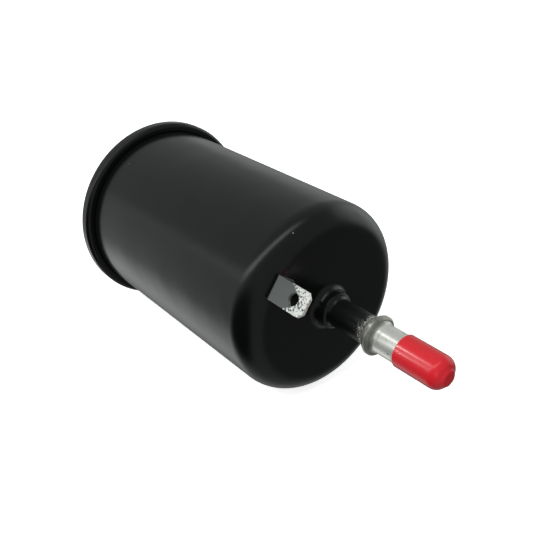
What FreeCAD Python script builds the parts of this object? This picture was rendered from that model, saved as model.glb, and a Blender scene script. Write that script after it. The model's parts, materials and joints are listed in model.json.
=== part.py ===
import FreeCAD, Part
import math
import os
import Sketcher
from FreeCAD import Placement, Rotation, Vector

# An inline fuel filter: a drawn steel can closed by a double-seamed cover, a spout for a quick
# connector at each end, a ground tab on the nose, and a pleated element held on its seal by a spring.
# The can lies along X, with its nose and outlet towards +X, and the origin is on the can's axis in
# the middle of the straight wall, where a strap holds it. Millimetres.

SIZES = {
    "can_diameter": 55.0,
    "sheet_wall": 0.8,  # can and rear cover
    "straight_length": 72.8,  # straight wall, from the seam to the shoulder
    "shoulder_radius": 6.9,
    "neck_height": 3.5,  # drawn collars that the spouts are brazed into
    "neck_wall": 1.1,
    "neck_flare": 2.0,
    "seam_length": 4.1,  # along the can
    "seam_gap": 0.25,  # sealing compound between the folded sheets
    "seam_neck": 0.3,  # how far the can is necked in where the cover is rolled on
    "seam_edge": 0.7,  # rounding of the seam's rear edges and of its foot on the can
    "seam_curl": 1.2,  # rounding of the seam's front edge
    "panel_depth": 4.5,  # how deep the cover's panel lies inside the seam
    "panel_bend": 1.5,
    "tube_diameter": 7.94,  # 5/16 inch
    "tube_wall": 0.9,
    "spout_length": 37.7,  # from the end face to the open end
    "bead_start": 15.9,  # all places along a spout are counted from its end face
    "bead_rise": 1.7,
    "bead_land": 1.0,
    "bead_fall": 1.3,
    "bead_diameter": 10.8,
    "tip_lead": 1.2,  # tapered lead at the open end
    "tip_drop": 0.5,
    "inlet_stub": 2.5,  # length of the inlet tube inside the cover's face
    "braze_height": 1.0,
    "cap_start": 26.7,
    "cap_length": 13.75,
    "cap_wall": 0.45,
    "cap_end_wall": 0.9,
    "cap_end_radius": 2.8,
    "cap_clearance": 0.03,
    "nub_radius": 0.8,  # drip left by the dip moulding
    "nub_height": 0.25,
    "tab_angle": 55.7,  # degrees from +Z towards -Y
    "tab_inset": 4.25,  # from the can's side to the middle of the tab's sheet
    "tab_width": 6.6,
    "tab_sheet": 0.9,
    "tab_reach": 12.8,
    "tab_foot": 7.0,
    "tab_bend": 0.3,
    "tab_corner": 1.3,
    "tab_hole": 3.2,
    "tab_hole_place": 8.3,
    "outlet_room": 4.8,  # from the nose's outer face to the element
    "spring_room": 7.7,  # from the cover's inner face to the element
    "flow_gap": 1.7,  # between the element and the can's wall
    "disc_sheet": 0.5,
    "disc_rim": 3.0,
    "fold_margin": 1.5,  # from the disc's edge to the outer folds' middle line
    "pleat_count": 40,
    "paper": 0.4,
    "paper_embed": 1.0,  # how deep the paper's edges sit in the potting
    "potting_depth": 1.6,
    "clip_sheet": 0.3,
    "clip_depth": 4.0,
    "core_wall": 0.6,
    "core_gap": 0.6,  # between the grommet's lip and the core
    "core_clearance": 0.1,  # between the core and the inner folds
    "core_hole": 3.0,
    "core_margin": 6.0,  # from the core's ends to the first holes
    "holes_around": 8,
    "grommet_wall": 2.6,
    "grommet_lip": 1.5,
    "lip_thickness": 1.2,
    "grommet_reach": 4.0,  # how far the grommet's sleeve goes into the element
    "spring_radius": 8.0,  # to the middle of the wire
    "spring_wire": 1.2,
    "spring_turns": 3,
    "spring_play": 0.3,  # between the spring and what it sits on or in
    "seat_sheet": 0.6,
    "seat_collar": 3.0,
    "guide_ring": 2.5,
    "guide_thickness": 1.5,
    "guide_arm": 4.0,
    "guide_leg": 5.0,
    "guide_play": 0.1,
}
CORE_ROWS = 7
GUIDE_ARMS = 4
ON_AXIS = 1e-4  # how close an edge's centre is to where it is looked for


class Size:
    """A dimension: its expression on the sheet, and its value for the first placing of geometry."""

    def __init__(self, text, value):
        self.text = text
        self.value = value

    def __add__(self, other):
        other = as_size(other)
        return Size(f"({self.text} + {other.text})", self.value + other.value)

    def __sub__(self, other):
        other = as_size(other)
        return Size(f"({self.text} - {other.text})", self.value - other.value)

    def __mul__(self, other):
        other = as_size(other)
        return Size(f"({self.text} * {other.text})", self.value * other.value)

    def __truediv__(self, other):
        other = as_size(other)
        return Size(f"({self.text} / {other.text})", self.value / other.value)

    def __neg__(self):
        return Size(f"(0 - {self.text})", -self.value)


def as_size(value):
    return value if isinstance(value, Size) else Size(str(value), value)


def tangent(degrees):
    """The tangent of a dimension that counts degrees."""
    return Size(f"tan({degrees.text} * 1 deg)", math.tan(math.radians(degrees.value)))


def fill_sheet(doc):
    """Write the driving dimensions into the sheet, and return a Size for each alias."""
    sheet = doc.addObject("Spreadsheet::Sheet", "sizes")
    found = {}
    for row, (alias, value) in enumerate(SIZES.items(), start=1):
        sheet.set(f"A{row}", alias)
        sheet.set(f"B{row}", str(value))
        sheet.setAlias(f"B{row}", alias)
        found[alias] = Size(f"sizes.{alias}", value)
    doc.recompute()
    return found


doc = FreeCAD.newDocument("fuel_filter")
s = fill_sheet(doc)

# Radii of the can, from its sheet
can_radius = s["can_diameter"] / 2
can_bore = can_radius - s["sheet_wall"]
shoulder_inside = s["shoulder_radius"] - s["sheet_wall"]

# The double seam's layers, outwards: chuck wall, necked can, cover hook, body hook, seam wall
neck_in_bore = can_bore - s["seam_neck"]
chuck_bore = neck_in_bore - s["sheet_wall"]
seam_base = can_radius - s["seam_neck"]
cover_hook_top = seam_base + s["sheet_wall"]
body_hook_base = cover_hook_top + s["seam_gap"]
body_hook_top = body_hook_base + s["sheet_wall"]
seam_wall_base = body_hook_top + s["seam_gap"]
seam_radius = seam_wall_base + s["sheet_wall"]

# Places along the can, from the rear to the nose
seam_front = -(s["straight_length"] / 2)
seam_rear = seam_front - s["seam_length"]
neck_in_end = seam_front + s["sheet_wall"] / 2
seam_roof = seam_rear + s["sheet_wall"]
body_bend = seam_roof + s["seam_gap"]
body_bend_inside = body_bend + s["sheet_wall"]
cover_hook_end = body_bend_inside + s["seam_gap"]
cover_bend_inside = seam_front - s["sheet_wall"]
body_hook_end = cover_bend_inside - s["seam_gap"]
panel_face = seam_rear + s["panel_depth"]
panel_inside = panel_face + s["sheet_wall"]
nose_face = s["straight_length"] / 2 + s["shoulder_radius"]
nose_inside = nose_face - s["sheet_wall"]

# Radii of the spouts and caps
tube_radius = s["tube_diameter"] / 2
tube_bore = tube_radius - s["tube_wall"]
neck_radius = tube_radius + s["neck_wall"]
bead_radius = s["bead_diameter"] / 2
cap_bore = tube_radius + s["cap_clearance"]
cap_radius = cap_bore + s["cap_wall"]
tab_distance = can_radius - s["tab_inset"]

# The element: its ends along the can, then its radii from the seal outwards
element_front = nose_face - s["outlet_room"]
element_rear = panel_inside + s["spring_room"]
core_front = element_front - s["disc_sheet"]
core_rear = element_rear + s["disc_sheet"]
paper_front = core_front - s["potting_depth"] + s["paper_embed"]
paper_rear = core_rear + s["potting_depth"] - s["paper_embed"]
outlet_stub = s["outlet_room"] + s["disc_sheet"] + s["grommet_reach"]
grommet_radius = tube_radius + s["grommet_wall"]
lip_radius = grommet_radius + s["grommet_lip"]
core_bore = lip_radius + s["core_gap"]
core_radius = core_bore + s["core_wall"]
inner_fold = core_radius + s["core_clearance"] + s["paper"] / 2
disc_radius = can_bore - s["flow_gap"]
disc_rim_bore = disc_radius - s["disc_sheet"]
outer_fold = disc_radius - s["fold_margin"]
seat_bore = s["spring_radius"] - s["spring_wire"] / 2 - s["spring_play"] - s["seat_sheet"]

zero = as_size(0)
quarter_pitch = tangent(as_size(180) / s["pleat_count"]) / 2


def new_body(label):
    body = doc.addObject("PartDesign::Body", label)
    body.Label = label
    return body


def origin_feature(body, role):
    return [feature for feature in body.Origin.OriginFeatures if feature.Role == role][0]


def new_sketch(body, plane, name):
    sketch = body.newObject("Sketcher::SketchObject", name)
    sketch.AttachmentSupport = [(origin_feature(body, plane), "")]
    sketch.MapMode = "FlatFace"
    return sketch


def tie_point(sketch, geometry, corner, across, up):
    """Hold one point of a sketch at its place from the origin, as the sheet gives it."""
    for kind, place in (("DistanceX", across), ("DistanceY", up)):
        index = sketch.addConstraint(Sketcher.Constraint(kind, -1, 1, geometry, corner, place.value))
        sketch.setExpression(f"Constraints[{index}]", place.text)


def add_outline(sketch, corners):
    """Close straight lines through the corners, each a pair of Sizes."""
    points = [Vector(across.value, up.value, 0) for across, up in corners]
    count = len(points)
    for index in range(count):
        sketch.addGeometry(Part.LineSegment(points[index], points[(index + 1) % count]), False)
    for index in range(count):
        sketch.addConstraint(Sketcher.Constraint("Coincident", index, 2, (index + 1) % count, 1))
    for index, (across, up) in enumerate(corners):
        tie_point(sketch, index, 1, across, up)


def add_circle(sketch, across, up, radius):
    place = Vector(across.value, up.value, 0)
    index = sketch.addGeometry(Part.Circle(place, Vector(0, 0, 1), radius.value), False)
    tie_point(sketch, index, 3, across, up)
    limit = sketch.addConstraint(Sketcher.Constraint("Radius", index, radius.value))
    sketch.setExpression(f"Constraints[{limit}]", radius.text)


def turn(body, corners, name="section"):
    """Turn an outline of (along, radius) corners about the X axis."""
    sketch = new_sketch(body, "XY_Plane", f"{body.Name}_{name}")
    add_outline(sketch, corners)
    solid = body.newObject("PartDesign::Revolution", f"{body.Name}_turned")
    solid.Profile = sketch
    solid.ReferenceAxis = (sketch, ["H_Axis"])
    solid.Angle = 360
    doc.recompute()
    return solid


def pad(body, sketch, length, symmetric=False):
    solid = body.newObject("PartDesign::Pad", f"{sketch.Name}_pad")
    solid.Profile = sketch
    if symmetric:
        solid.SideType = "Symmetric"
    solid.setExpression("Length", length.text)
    doc.recompute()
    return solid


def cut_through(body, sketch, reverse):
    """Cut a sketch through everything on one side of its plane."""
    before = body.Shape.Volume
    cut = body.newObject("PartDesign::Pocket", f"{sketch.Name}_cut")
    cut.Profile = sketch
    cut.Type = "ThroughAll"
    cut.Reversed = reverse
    doc.recompute()
    if body.Shape.Volume >= before:
        raise ValueError(f"{cut.Name} cuts nothing")
    return cut


def around_axis(body, features, count):
    """Repeat features evenly about the X axis."""
    pattern = body.newObject("PartDesign::PolarPattern", f"{body.Name}_around")
    pattern.Originals = features
    pattern.Axis = (origin_feature(body, "X_Axis"), [""])
    pattern.Angle = 360
    pattern.Occurrences = int(count.value)
    pattern.setExpression("Occurrences", count.text)
    body.Tip = pattern
    doc.recompute()
    return pattern


def ring_edge(shape, along, radius):
    """The name of the circular edge about the X axis at this place and radius."""
    for index, edge in enumerate(shape.Edges, start=1):
        curve = edge.Curve
        if not isinstance(curve, Part.Circle):
            continue
        miss = (curve.Center - Vector(along.value, 0, 0)).Length + abs(curve.Radius - radius.value)
        if miss < ON_AXIS:
            return f"Edge{index}"
    raise ValueError(f"no edge at {along.value:.3f}, {radius.value:.3f}")


def line_edge(shape, point):
    """The name of the straight edge whose middle is at this point."""
    for index, edge in enumerate(shape.Edges, start=1):
        if isinstance(edge.Curve, Part.Line) and (edge.CenterOfMass - point).Length < ON_AXIS:
            return f"Edge{index}"
    raise ValueError(f"no straight edge at {point}")


def soften(body, kind, radius, names):
    """Fillet or chamfer the named edges of the body's last feature."""
    base = body.Tip
    feature = body.newObject(f"PartDesign::{kind}", f"{body.Name}_{kind}")
    feature.Base = (base, names)
    feature.setExpression("Radius" if kind == "Fillet" else "Size", radius.text)
    doc.recompute()
    return feature


def round_rings(body, radius, places):
    names = [ring_edge(body.Tip.Shape, along, ring) for along, ring in places]
    soften(body, "Fillet", radius, names)


def put_at(piece, along, facing_back=False):
    """Place a piece along X, turned half round when it faces the rear."""
    half_turn = 180 if facing_back else 0
    piece.Placement = Placement(Vector(along.value, 0, 0), Rotation(Vector(0, 0, 1), half_turn))
    piece.setExpression("Placement.Base.x", along.text)


def make_can_shell():
    """Drawn can: body hook at the rear, straight wall, shoulder, flat nose and its collar."""
    body = new_body("can_shell")
    collar_end = nose_face + s["neck_height"]
    turn(body, [
        (body_bend, neck_in_bore),
        (body_bend, body_hook_top),
        (body_hook_end, body_hook_top),
        (body_hook_end, body_hook_base),
        (body_bend_inside, body_hook_base),
        (body_bend_inside, seam_base),
        (seam_front, seam_base),
        (seam_front, can_radius),
        (nose_face, can_radius),
        (nose_face, neck_radius),
        (collar_end, neck_radius),
        (collar_end, tube_radius),
        (nose_inside, tube_radius),
        (nose_inside, can_bore),
        (neck_in_end, can_bore),
        (neck_in_end, neck_in_bore),
    ])
    round_rings(body, s["shoulder_radius"], [(nose_face, can_radius)])
    round_rings(body, shoulder_inside, [(nose_inside, can_bore)])
    round_rings(body, s["neck_flare"], [(nose_face, neck_radius)])
    return body


def make_rear_cover():
    """Cover rolled round the can's flange: sunk panel with a collar, chuck wall, seam and hook."""
    body = new_body("rear_cover")
    collar_end = panel_face - s["neck_height"]
    turn(body, [
        (seam_rear, chuck_bore),
        (seam_rear, seam_radius),
        (seam_front, seam_radius),
        (seam_front, seam_base),
        (cover_hook_end, seam_base),
        (cover_hook_end, cover_hook_top),
        (cover_bend_inside, cover_hook_top),
        (cover_bend_inside, seam_wall_base),
        (seam_roof, seam_wall_base),
        (seam_roof, neck_in_bore),
        (panel_inside, neck_in_bore),
        (panel_inside, tube_radius),
        (collar_end, tube_radius),
        (collar_end, neck_radius),
        (panel_face, neck_radius),
        (panel_face, chuck_bore),
    ])
    rear_edges = [(seam_rear, seam_radius), (seam_rear, chuck_bore)]
    round_rings(body, s["seam_edge"], rear_edges + [(seam_front, seam_base)])
    round_rings(body, s["seam_curl"], [(seam_front, seam_radius)])
    round_rings(body, s["panel_bend"], [(panel_face, chuck_bore)])
    round_rings(body, s["panel_bend"] + s["sheet_wall"], [(panel_inside, neck_in_bore)])
    round_rings(body, s["neck_flare"], [(panel_face, neck_radius)])
    return body


def cut_from(label, blank, tool):
    """A piece that is a blank less what it is moulded round."""
    piece = doc.addObject("Part::Cut", label)
    piece.Label = label
    piece.Base = blank
    piece.Tool = tool
    return piece


def make_seam_compound(can, cover):
    """Compound that fills the fold between the can's hook and the cover's."""
    blank = new_body("compound_blank")
    turn(blank, [
        (seam_roof, neck_in_bore),
        (seam_roof, seam_wall_base),
        (cover_bend_inside, seam_wall_base),
        (cover_bend_inside, neck_in_bore),
    ])
    return cut_from("seam_compound", cut_from("compound_outside", blank, can), cover)


def make_tube(label, stub, face, facing_back):
    """Steel tube through an end: stub inside, bead for a quick connector, tapered lead."""
    body = new_body(label)
    land_start = s["bead_start"] + s["bead_rise"]
    land_end = land_start + s["bead_land"]
    turn(body, [
        (-stub, tube_bore),
        (-stub, tube_radius),
        (s["bead_start"], tube_radius),
        (land_start, bead_radius),
        (land_end, bead_radius),
        (land_end + s["bead_fall"], tube_radius),
        (s["spout_length"] - s["tip_lead"], tube_radius),
        (s["spout_length"], tube_radius - s["tip_drop"]),
        (s["spout_length"], tube_bore),
    ])
    put_at(body, face, facing_back)
    return body


def make_braze(label, face, facing_back):
    """Braze ring where the tube leaves its collar."""
    body = new_body(label)
    turn(body, [
        (s["neck_height"], tube_radius),
        (s["neck_height"], neck_radius),
        (s["neck_height"] + s["braze_height"], tube_radius),
    ])
    put_at(body, face, facing_back)
    return body


def make_cap(label, face, facing_back):
    """Soft vinyl cap over the tube's open end, with a round end and a drip nub."""
    body = new_body(label)
    end = s["cap_start"] + s["cap_length"]
    end_inside = end - s["cap_end_wall"]
    nub_tip = end + s["nub_height"]
    turn(body, [
        (s["cap_start"], cap_bore),
        (s["cap_start"], cap_radius),
        (end, cap_radius),
        (end, s["nub_radius"]),
        (nub_tip, s["nub_radius"]),
        (nub_tip, zero),
        (end_inside, zero),
        (end_inside, cap_bore),
    ])
    round_rings(body, s["cap_end_radius"], [(end, cap_radius)])
    round_rings(body, s["cap_end_radius"] - s["cap_wall"], [(end_inside, cap_bore)])
    put_at(body, face, facing_back)
    return body


def make_ground_tab():
    """Bent steel tab welded on the nose: foot towards the axis, leg along it, hole and cut corners."""
    body = new_body("ground_tab")
    sheet = s["tab_sheet"]
    outside = tab_distance + sheet / 2
    inside = tab_distance - sheet / 2
    foot_end = outside - s["tab_foot"]
    side = new_sketch(body, "XZ_Plane", "tab_side")
    add_outline(side, [
        (zero, foot_end),
        (zero, outside),
        (s["tab_reach"], outside),
        (s["tab_reach"], inside),
        (sheet, inside),
        (sheet, foot_end),
    ])
    pad(body, side, s["tab_width"], symmetric=True)
    outer_bend = line_edge(body.Tip.Shape, Vector(0, 0, outside.value))
    soften(body, "Fillet", s["tab_bend"] + sheet, [outer_bend])
    inner_bend = line_edge(body.Tip.Shape, Vector(sheet.value, 0, inside.value))
    soften(body, "Fillet", s["tab_bend"], [inner_bend])
    half_width = (s["tab_width"] / 2).value
    places = []
    for across in (-half_width, half_width):
        places.append(Vector(s["tab_reach"].value, across, tab_distance.value))
        places.append(Vector(sheet.value / 2, across, foot_end.value))
    soften(body, "Chamfer", s["tab_corner"], [line_edge(body.Tip.Shape, place) for place in places])
    drill = new_sketch(body, "XY_Plane", "tab_hole")
    add_circle(drill, s["tab_hole_place"], zero, s["tab_hole"] / 2)
    cut_through(body, drill, reverse=True)
    lean = Rotation(Vector(1, 0, 0), s["tab_angle"].value)
    body.Placement = Placement(Vector(nose_face.value, 0, 0), lean)
    body.setExpression("Placement.Base.x", nose_face.text)
    body.setExpression("Placement.Rotation.Angle", s["tab_angle"].text)
    return body


def make_pleated_media():
    """Folded paper ring: one pleat between two radial planes, repeated all round."""
    body = new_body("pleated_media")
    half = s["paper"] / 2
    outer = outer_fold * quarter_pitch
    inner = inner_fold * quarter_pitch
    right = [
        (outer + half, outer_fold + half),
        (inner + half, inner_fold + half),
        ((inner_fold + half) * quarter_pitch * 2, inner_fold + half),
        ((inner_fold - half) * quarter_pitch * 2, inner_fold - half),
        (inner - half, inner_fold - half),
        (outer - half, outer_fold - half),
    ]
    left = [(-across, up) for across, up in reversed(right)]
    fold = new_sketch(body, "YZ_Plane", "pleat")
    add_outline(fold, right + left)
    around_axis(body, [pad(body, fold, paper_front - paper_rear)], s["pleat_count"])
    put_at(body, paper_rear)
    return body


def make_media_clip():
    """Metal clip folded over the pleat where the paper's two ends meet."""
    body = new_body("media_clip")
    top = outer_fold + s["paper"] / 2
    bottom = top - s["clip_depth"]
    taper = quarter_pitch * s["clip_depth"]
    wide = outer_fold * quarter_pitch + s["paper"] / 2
    narrow = wide - taper
    sheet = s["clip_sheet"]
    right = [
        (wide + sheet, top + sheet),
        (narrow + sheet, bottom),
        (narrow, bottom),
        (wide, top),
    ]
    left = [(-across, up) for across, up in reversed(right)]
    section = new_sketch(body, "YZ_Plane", "clip_section")
    add_outline(section, right + left)
    free_rear = core_rear + s["potting_depth"]
    pad(body, section, core_front - s["potting_depth"] - free_rear)
    put_at(body, free_rear)
    return body


def make_core_tube():
    """Perforated steel tube that the paper leans on."""
    body = new_body("core_tube")
    length = core_front - core_rear
    turn(body, [
        (zero, core_bore),
        (zero, core_radius),
        (length, core_radius),
        (length, core_bore),
    ])
    row = new_sketch(body, "XY_Plane", "core_row")
    pitch = (length - s["core_margin"] * 2) / (CORE_ROWS - 1)
    for index in range(CORE_ROWS):
        add_circle(row, s["core_margin"] + pitch * index, zero, s["core_hole"] / 2)
    around_axis(body, [cut_through(body, row, reverse=False)], s["holes_around"])
    put_at(body, core_rear)
    return body


def make_disc(label, hole, face, facing_back):
    """Pressed end disc of the element, open or closed, with a rim round the potting."""
    body = new_body(label)
    corners = [
        (zero, hole),
        (zero, disc_radius),
        (-s["disc_rim"], disc_radius),
        (-s["disc_rim"], disc_rim_bore),
        (-s["disc_sheet"], disc_rim_bore),
        (-s["disc_sheet"], hole),
    ]
    turn(body, corners)
    put_at(body, face, facing_back)
    return body


def make_potting(label, media, face, facing_back):
    """Plastisol poured in the disc, with the paper's folds standing in it."""
    blank = new_body(f"{label}_blank")
    base = -s["disc_sheet"]
    turn(blank, [
        (base, core_radius),
        (base, disc_rim_bore),
        (base - s["potting_depth"], disc_rim_bore),
        (base - s["potting_depth"], core_radius),
    ])
    put_at(blank, face, facing_back)
    return cut_from(label, blank, media)


def make_seat_grommet():
    """Rubber grommet in the open disc's hole, sealing round the outlet tube."""
    body = new_body("seat_grommet")
    lip = s["lip_thickness"]
    inside = -s["disc_sheet"]
    turn(body, [
        (lip, tube_radius),
        (lip, lip_radius),
        (zero, lip_radius),
        (zero, grommet_radius),
        (inside, grommet_radius),
        (inside, lip_radius),
        (inside - lip, lip_radius),
        (inside - lip, grommet_radius),
        (inside - s["grommet_reach"], tube_radius + s["grommet_wall"] / 2),
        (inside - s["grommet_reach"], tube_radius),
    ])
    put_at(body, element_front)
    return body


def make_spring_seat():
    """Pressed ring on the cover that the spring stands on, with a collar inside the coil."""
    body = new_body("spring_seat")
    sheet = s["seat_sheet"]
    brim = s["spring_radius"] + s["spring_wire"] / 2 + s["spring_play"]
    turn(body, [
        (zero, seat_bore),
        (s["seat_collar"], seat_bore),
        (s["seat_collar"], seat_bore + sheet),
        (sheet, seat_bore + sheet),
        (sheet, brim),
        (zero, brim),
    ])
    put_at(body, panel_inside)
    return body


def make_retaining_spring():
    """Coil spring that pushes the element onto its seal."""
    body = new_body("retaining_spring")
    wire = new_sketch(body, "XY_Plane", "wire")
    add_circle(wire, zero, s["spring_radius"], s["spring_wire"] / 2)
    coil = body.newObject("PartDesign::AdditiveHelix", "coil")
    coil.Profile = wire
    coil.ReferenceAxis = (wire, ["H_Axis"])
    coil.Mode = "height-turns-angle"
    coil.setExpression("Height", (s["spring_room"] - s["seat_sheet"] - s["spring_wire"]).text)
    coil.setExpression("Turns", s["spring_turns"].text)
    doc.recompute()
    put_at(body, panel_inside + s["seat_sheet"] + s["spring_wire"] / 2)
    return body


def make_element_guide():
    """Plastic spider on the closed disc: ring round the spring, arms over the rim to the can."""
    body = new_body("element_guide")
    ring_bore = s["spring_radius"] + s["spring_wire"] / 2 + s["spring_play"]
    thick = s["guide_thickness"]
    turn(body, [
        (zero, ring_bore),
        (zero, ring_bore + s["guide_ring"]),
        (thick, ring_bore + s["guide_ring"]),
        (thick, ring_bore),
    ])
    arm = new_sketch(body, "XZ_Plane", "guide_arm")
    reach = can_bore - s["guide_play"]
    add_outline(arm, [
        (zero, ring_bore + s["guide_ring"] / 2),
        (zero, disc_radius + s["guide_play"]),
        (-s["guide_leg"], disc_radius + s["guide_play"]),
        (-s["guide_leg"], reach),
        (thick, reach),
        (thick, ring_bore + s["guide_ring"] / 2),
    ])
    around_axis(body, [pad(body, arm, s["guide_arm"], symmetric=True)], as_size(GUIDE_ARMS))
    put_at(body, element_rear, facing_back=True)
    return body


def build_filter():
    """Make every piece, and return them in the order they are assembled."""
    can = make_can_shell()
    cover = make_rear_cover()
    media = make_pleated_media()
    return [
        can,
        cover,
        make_seam_compound(can, cover),
        make_tube("outlet_tube", outlet_stub, nose_face, facing_back=False),
        make_tube("inlet_tube", s["inlet_stub"], panel_face, facing_back=True),
        make_braze("outlet_braze", nose_face, facing_back=False),
        make_braze("inlet_braze", panel_face, facing_back=True),
        make_ground_tab(),
        make_cap("outlet_cap", nose_face, facing_back=False),
        make_cap("inlet_cap", panel_face, facing_back=True),
        media,
        make_media_clip(),
        make_core_tube(),
        make_disc("outlet_end_disc", grommet_radius, element_front, facing_back=False),
        make_disc("inlet_end_disc", zero, element_rear, facing_back=True),
        make_potting("outlet_potting", media, element_front, facing_back=False),
        make_potting("inlet_potting", media, element_rear, facing_back=True),
        make_seat_grommet(),
        make_spring_seat(),
        make_retaining_spring(),
        make_element_guide(),
    ]


def check_document():
    """Stop if any object of the document failed to recompute."""
    failed = [item.Name for item in doc.Objects if {"Invalid", "Error"} & set(item.State)]
    if failed:
        raise ValueError(f"failed objects: {failed}")


def check_piece(piece):
    shape = piece.Shape
    if shape.isNull() or not shape.isValid() or len(shape.Solids) != 1:
        raise ValueError(f"{piece.Label} isn't one valid solid")


pieces = build_filter()
doc.recompute()
check_document()
os.makedirs("parts", exist_ok=True)
for piece in pieces:
    check_piece(piece)
for piece in pieces:
    piece.Shape.exportStep(f"parts/{piece.Label}.step")
    print(f"{piece.Label}: {piece.Shape.Volume:.1f} mm3")
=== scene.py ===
"""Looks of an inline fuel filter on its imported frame: black can, steel spouts, ground tab, red caps."""

import json
import math

import bmesh
import bpy
from bpy.props import FloatProperty, FloatVectorProperty, IntProperty, PointerProperty
from mathutils import Matrix, Vector, noise


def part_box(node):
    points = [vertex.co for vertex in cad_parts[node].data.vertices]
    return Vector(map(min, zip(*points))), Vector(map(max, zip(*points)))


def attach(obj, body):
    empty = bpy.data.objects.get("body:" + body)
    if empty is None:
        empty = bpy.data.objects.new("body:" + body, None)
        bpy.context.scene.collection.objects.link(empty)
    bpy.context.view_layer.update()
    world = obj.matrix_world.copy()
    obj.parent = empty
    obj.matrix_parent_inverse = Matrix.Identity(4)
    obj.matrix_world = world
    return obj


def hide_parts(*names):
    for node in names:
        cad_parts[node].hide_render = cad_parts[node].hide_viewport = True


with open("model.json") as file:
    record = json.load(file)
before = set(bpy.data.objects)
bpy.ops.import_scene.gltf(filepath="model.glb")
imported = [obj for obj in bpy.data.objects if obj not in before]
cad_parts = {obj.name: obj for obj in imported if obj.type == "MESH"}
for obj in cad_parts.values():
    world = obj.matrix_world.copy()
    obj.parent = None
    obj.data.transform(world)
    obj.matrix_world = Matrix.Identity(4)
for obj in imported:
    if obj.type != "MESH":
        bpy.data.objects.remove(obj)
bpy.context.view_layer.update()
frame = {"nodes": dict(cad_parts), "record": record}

bl_info = {
    "name": "Inline Fuel Filter",
    "version": (1, 0, 0),
    "blender": (4, 5, 0),
    "location": "3D View > Sidebar > Fuel Filter",
    "description": "Builds a painted inline fuel filter and its studio round a CAD frame",
    "category": "Object",
}

MM = 0.001
MOUNTS = {mount["name"]: mount for mount in frame["record"]["mounts"]}


def ends(node):
    """Where a CAD node begins and ends along the can's axis."""
    low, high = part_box(node)
    return low.x, high.x


def reach(node):
    """The largest radius of a CAD node that is round about the can's axis."""
    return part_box(node)[1].z


def mount_size(name, size):
    return MOUNTS[name]["dims"][size] * MM


# The can lies along X, with its nose and outlet towards +X
CAN_RADIUS = mount_size("strap_band", "r_mm")
WALL_FRONT = mount_size("strap_band", "length_mm") / 2
SEAM_FRONT = -WALL_FRONT
SEAM_REAR = ends("rear_cover")[0]
SEAM_RADIUS = reach("rear_cover")
NOSE_FACE = ends("ground_tab")[0]
NECK_HEIGHT = ends("outlet_braze")[0] - NOSE_FACE
NECK_RADIUS = reach("outlet_braze")
BRAZE_HEIGHT = ends("outlet_braze")[1] - ends("outlet_braze")[0]
PANEL_FACE = ends("inlet_braze")[1] + NECK_HEIGHT

# Places along a spout are counted from its end face
BEAD_RADIUS = mount_size("outlet_bead", "r_mm")
BEAD_LAND = mount_size("outlet_bead", "length_mm")
LAND_START = MOUNTS["outlet_bead"]["pos_m"][0] - NOSE_FACE - BEAD_LAND / 2
LAND_END = LAND_START + BEAD_LAND
SPOUT_LENGTH = ends("outlet_tube")[1] - NOSE_FACE
OUTLET_STUB = NOSE_FACE - ends("outlet_tube")[0]
INLET_STUB = ends("inlet_tube")[1] - PANEL_FACE
CAP_START = ends("outlet_cap")[0] - NOSE_FACE
CAP_TIP = ends("outlet_cap")[1] - NOSE_FACE
CAP_RADIUS = reach("outlet_cap")

# The ground tab's leg, from its hole
TAB_HOLE = Vector(MOUNTS["ground_tab_hole"]["pos_m"])
TAB_HOLE_RADIUS = mount_size("ground_tab_hole", "r_mm")
TAB_SHEET = mount_size("ground_tab_hole", "length_mm")
TAB_HOLE_PLACE = TAB_HOLE.x - NOSE_FACE
TAB_DISTANCE = math.hypot(TAB_HOLE.y, TAB_HOLE.z)
TAB_ANGLE = math.atan2(-TAB_HOLE.y, TAB_HOLE.z)
TAB_REACH = ends("ground_tab")[1] - NOSE_FACE

CAN_TURNS = 192  # faces round the can and the seam
SPOUT_TURNS = 96
BEND_STEPS = 8  # faces round the tab's bend
CUT_EDGE = 0.1 * MM  # rounding of a cut tube's edges
SAME_PLACE = 1e-6


def length(name, description, millimetres):
    return FloatProperty(
        name=name, description=description, default=millimetres * MM, min=0, precision=5, unit="LENGTH"
    )


def share(name, description, value):
    return FloatProperty(name=name, description=description, default=value, min=0, max=1)


def colour(name, description, value):
    return FloatVectorProperty(
        name=name, description=description, default=value, min=0, max=1, size=3, subtype="COLOR"
    )


def place(name, description, value):
    return FloatVectorProperty(
        name=name, description=description, default=value, size=3, subtype="TRANSLATION", unit="LENGTH"
    )


class CanSizes(bpy.types.PropertyGroup):
    sheet: length("Sheet", "Thickness of the can and the rear cover", 0.8)
    shoulder: length("Shoulder", "Rounding between the wall and the nose", 6.9)
    neck_flare: length("Neck flare", "Rounding at the foot of each drawn collar", 2.0)
    neck_edge: length("Neck edge", "Rounding of a collar's free edge", 0.3)
    seam_gap: length("Seam gap", "Compound between the folded sheets", 0.25)
    seam_neck: length("Seam neck", "How far the can is necked in under the seam", 0.3)
    seam_edge: length("Seam edge", "Rounding of the seam's rear edges", 0.75)
    seam_curl: length("Seam curl", "Rounding of the seam's front edge", 1.3)
    seam_foot: length("Seam foot", "Rounding where the seam meets the wall", 0.7)
    fold: length("Fold", "Rounding inside the seam's folds", 0.15)
    panel_bend: length("Panel bend", "Rounding at the rim of the sunk panel", 1.5)


class SpoutSizes(bpy.types.PropertyGroup):
    wall: length("Tube wall", "Thickness of the spouts' tube", 0.9)
    bead_rise: length("Bead rise", "Length of the bead's slope on the can's side", 1.7)
    bead_fall: length("Bead fall", "Length of the bead's slope on the cap's side", 1.3)
    crease: length("Crease", "Depth of the fold line on the bead's slope", 0.16)
    lead: length("Lead", "Length of the taper at the open end", 1.2)
    drop: length("Drop", "Depth of the taper at the open end", 0.5)
    blend: length("Blend", "Rounding at the bead's feet", 0.5)


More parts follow.
